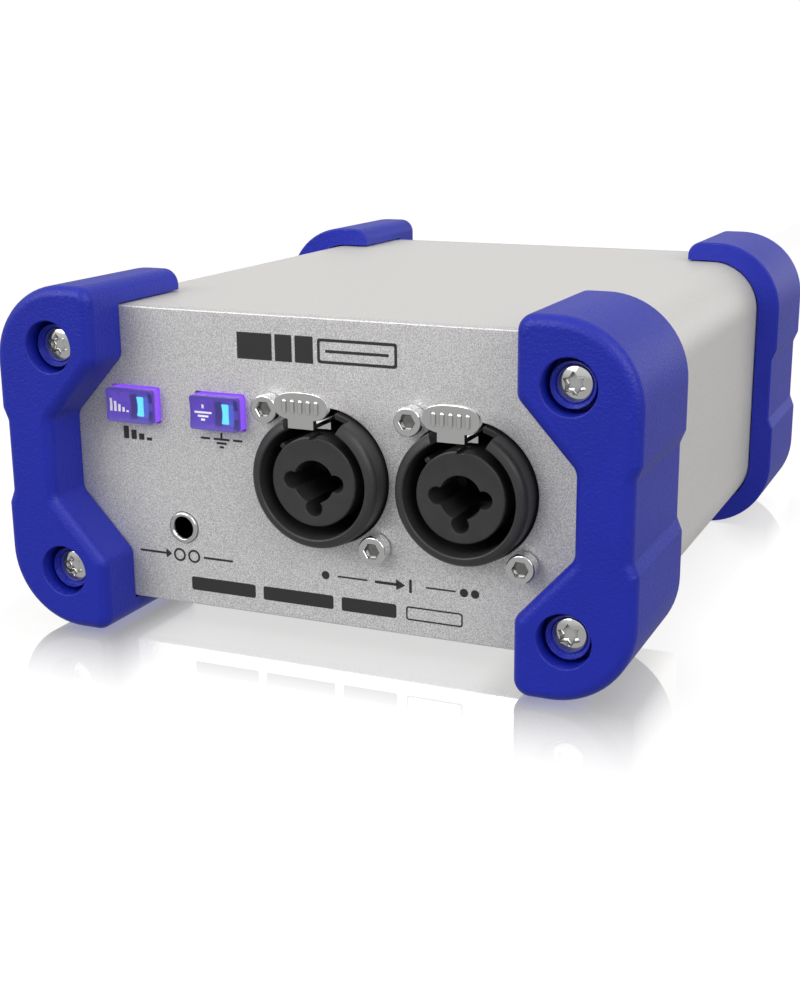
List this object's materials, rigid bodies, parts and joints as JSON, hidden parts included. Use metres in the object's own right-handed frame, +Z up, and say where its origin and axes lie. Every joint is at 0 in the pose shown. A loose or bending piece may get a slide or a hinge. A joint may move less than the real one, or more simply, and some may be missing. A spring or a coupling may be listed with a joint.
{
  "type": "direct injection box",
  "caption": "Stereo direct injection box: extruded metal case with moulded corner bumpers, combination input sockets, lit push buttons and balanced outputs.",
  "frame": {"origin": "centre of the underside of the box, on the plane the bumpers rest on", "axes": "+X to the right when facing the front panel, -Y out of the front panel, +Z up"},
  "size_m": [0.1172, 0.1398, 0.062],
  "materials": {
    "case_aluminium": "bead-blasted, clear anodised",
    "panel_silver": "fine sparkle silver, bead-blasted",
    "bumper_blue": "fine pebbled moulded texture",
    "socket_charcoal": "satin moulded",
    "screw_chrome": "bright plated",
    "bright_steel": "satin nickel",
    "button_violet": "translucent, lit from within",
    "lens_cyan": "lit",
    "circuit_board": "solder-masked laminate",
    "inner_black": "moulded",
    "contact_gold": "gold plated"
  },
  "bodies": {
    "box_body": {"board_header": "inner_black", "bumper_front_left": "bumper_blue", "bumper_front_right": "bumper_blue", "bumper_rear_left": "bumper_blue", "bumper_rear_right": "bumper_blue", "bumper_screw_front_left_lower": "screw_chrome", "bumper_screw_front_left_upper": "screw_chrome", "bumper_screw_front_right_lower": "screw_chrome", "bumper_screw_front_right_upper": "screw_chrome", "bumper_screw_rear_left_lower": "screw_chrome", "bumper_screw_rear_left_upper": "screw_chrome", "bumper_screw_rear_right_lower": "screw_chrome", "bumper_screw_rear_right_upper": "screw_chrome", "case_shell": "case_aluminium", "control_board": "circuit_board", "front_panel": "panel_silver", "input_socket_core_left": "socket_charcoal", "input_socket_core_right": "socket_charcoal", "input_socket_shell_left": "socket_charcoal", "input_socket_shell_right": "socket_charcoal", "latch_spring_left": "bright_steel", "latch_spring_right": "bright_steel", "lift_switch_body": "inner_black", "lift_switch_spring": "bright_steel", "link_jack_body_lower": "inner_black", "link_jack_body_upper": "inner_black", "link_jack_nut_lower": "screw_chrome", "link_jack_nut_upper": "screw_chrome", "main_board": "circuit_board", "mini_jack_body": "inner_black", "mini_jack_bush": "screw_chrome", "output_pin_left_1": "contact_gold", "output_pin_left_2": "contact_gold", "output_pin_left_3": "contact_gold", "output_pin_right_1": "contact_gold", "output_pin_right_2": "contact_gold", "output_pin_right_3": "contact_gold", "output_socket_shell_left": "socket_charcoal", "output_socket_shell_right": "socket_charcoal", "output_transformer_left": "bright_steel", "output_transformer_right": "bright_steel", "pad_switch_body": "inner_black", "pad_switch_spring": "bright_steel", "rear_panel": "panel_silver", "socket_screw_front_left_lower": "bright_steel", "socket_screw_front_left_upper": "bright_steel", "socket_screw_front_right_lower": "bright_steel", "socket_screw_front_right_upper": "bright_steel", "socket_screw_rear_left_lower": "bright_steel", "socket_screw_rear_left_upper": "bright_steel", "socket_screw_rear_right_lower": "bright_steel", "socket_screw_rear_right_upper": "bright_steel"},
    "pad_button": {"pad_button_cap": "button_violet", "pad_button_lens": "lens_cyan", "pad_switch_plunger": "inner_black"},
    "lift_button": {"lift_button_cap": "button_violet", "lift_button_lens": "lens_cyan", "lift_switch_plunger": "inner_black"},
    "left_latch": {"latch_tab_left": "bright_steel"},
    "right_latch": {"latch_tab_right": "bright_steel"}
  },
  "joints": [
    {"name": "pad_button_press", "type": "slide", "parent": "box_body", "child": "pad_button", "axis": [0, 1, 0], "range_m": [0, 0.0018], "stiffness_N_per_m": 500, "deforming": ["pad_switch_spring"]},
    {"name": "lift_button_press", "type": "slide", "parent": "box_body", "child": "lift_button", "axis": [0, 1, 0], "range_m": [0, 0.0018], "stiffness_N_per_m": 500, "deforming": ["lift_switch_spring"]},
    {"name": "left_latch_release", "type": "hinge", "parent": "box_body", "child": "left_latch", "pos_m": [0.00098, -0.0549, 0.04113], "axis": [-1, 0, 0], "range_deg": [0, 6], "stiffness_Nm_per_rad": 0.02, "deforming": ["latch_spring_left"]},
    {"name": "right_latch_release", "type": "hinge", "parent": "box_body", "child": "right_latch", "pos_m": [0.02748, -0.0549, 0.04113], "axis": [-1, 0, 0], "range_deg": [0, 6], "stiffness_Nm_per_rad": 0.02, "deforming": ["latch_spring_right"]}
  ]
}
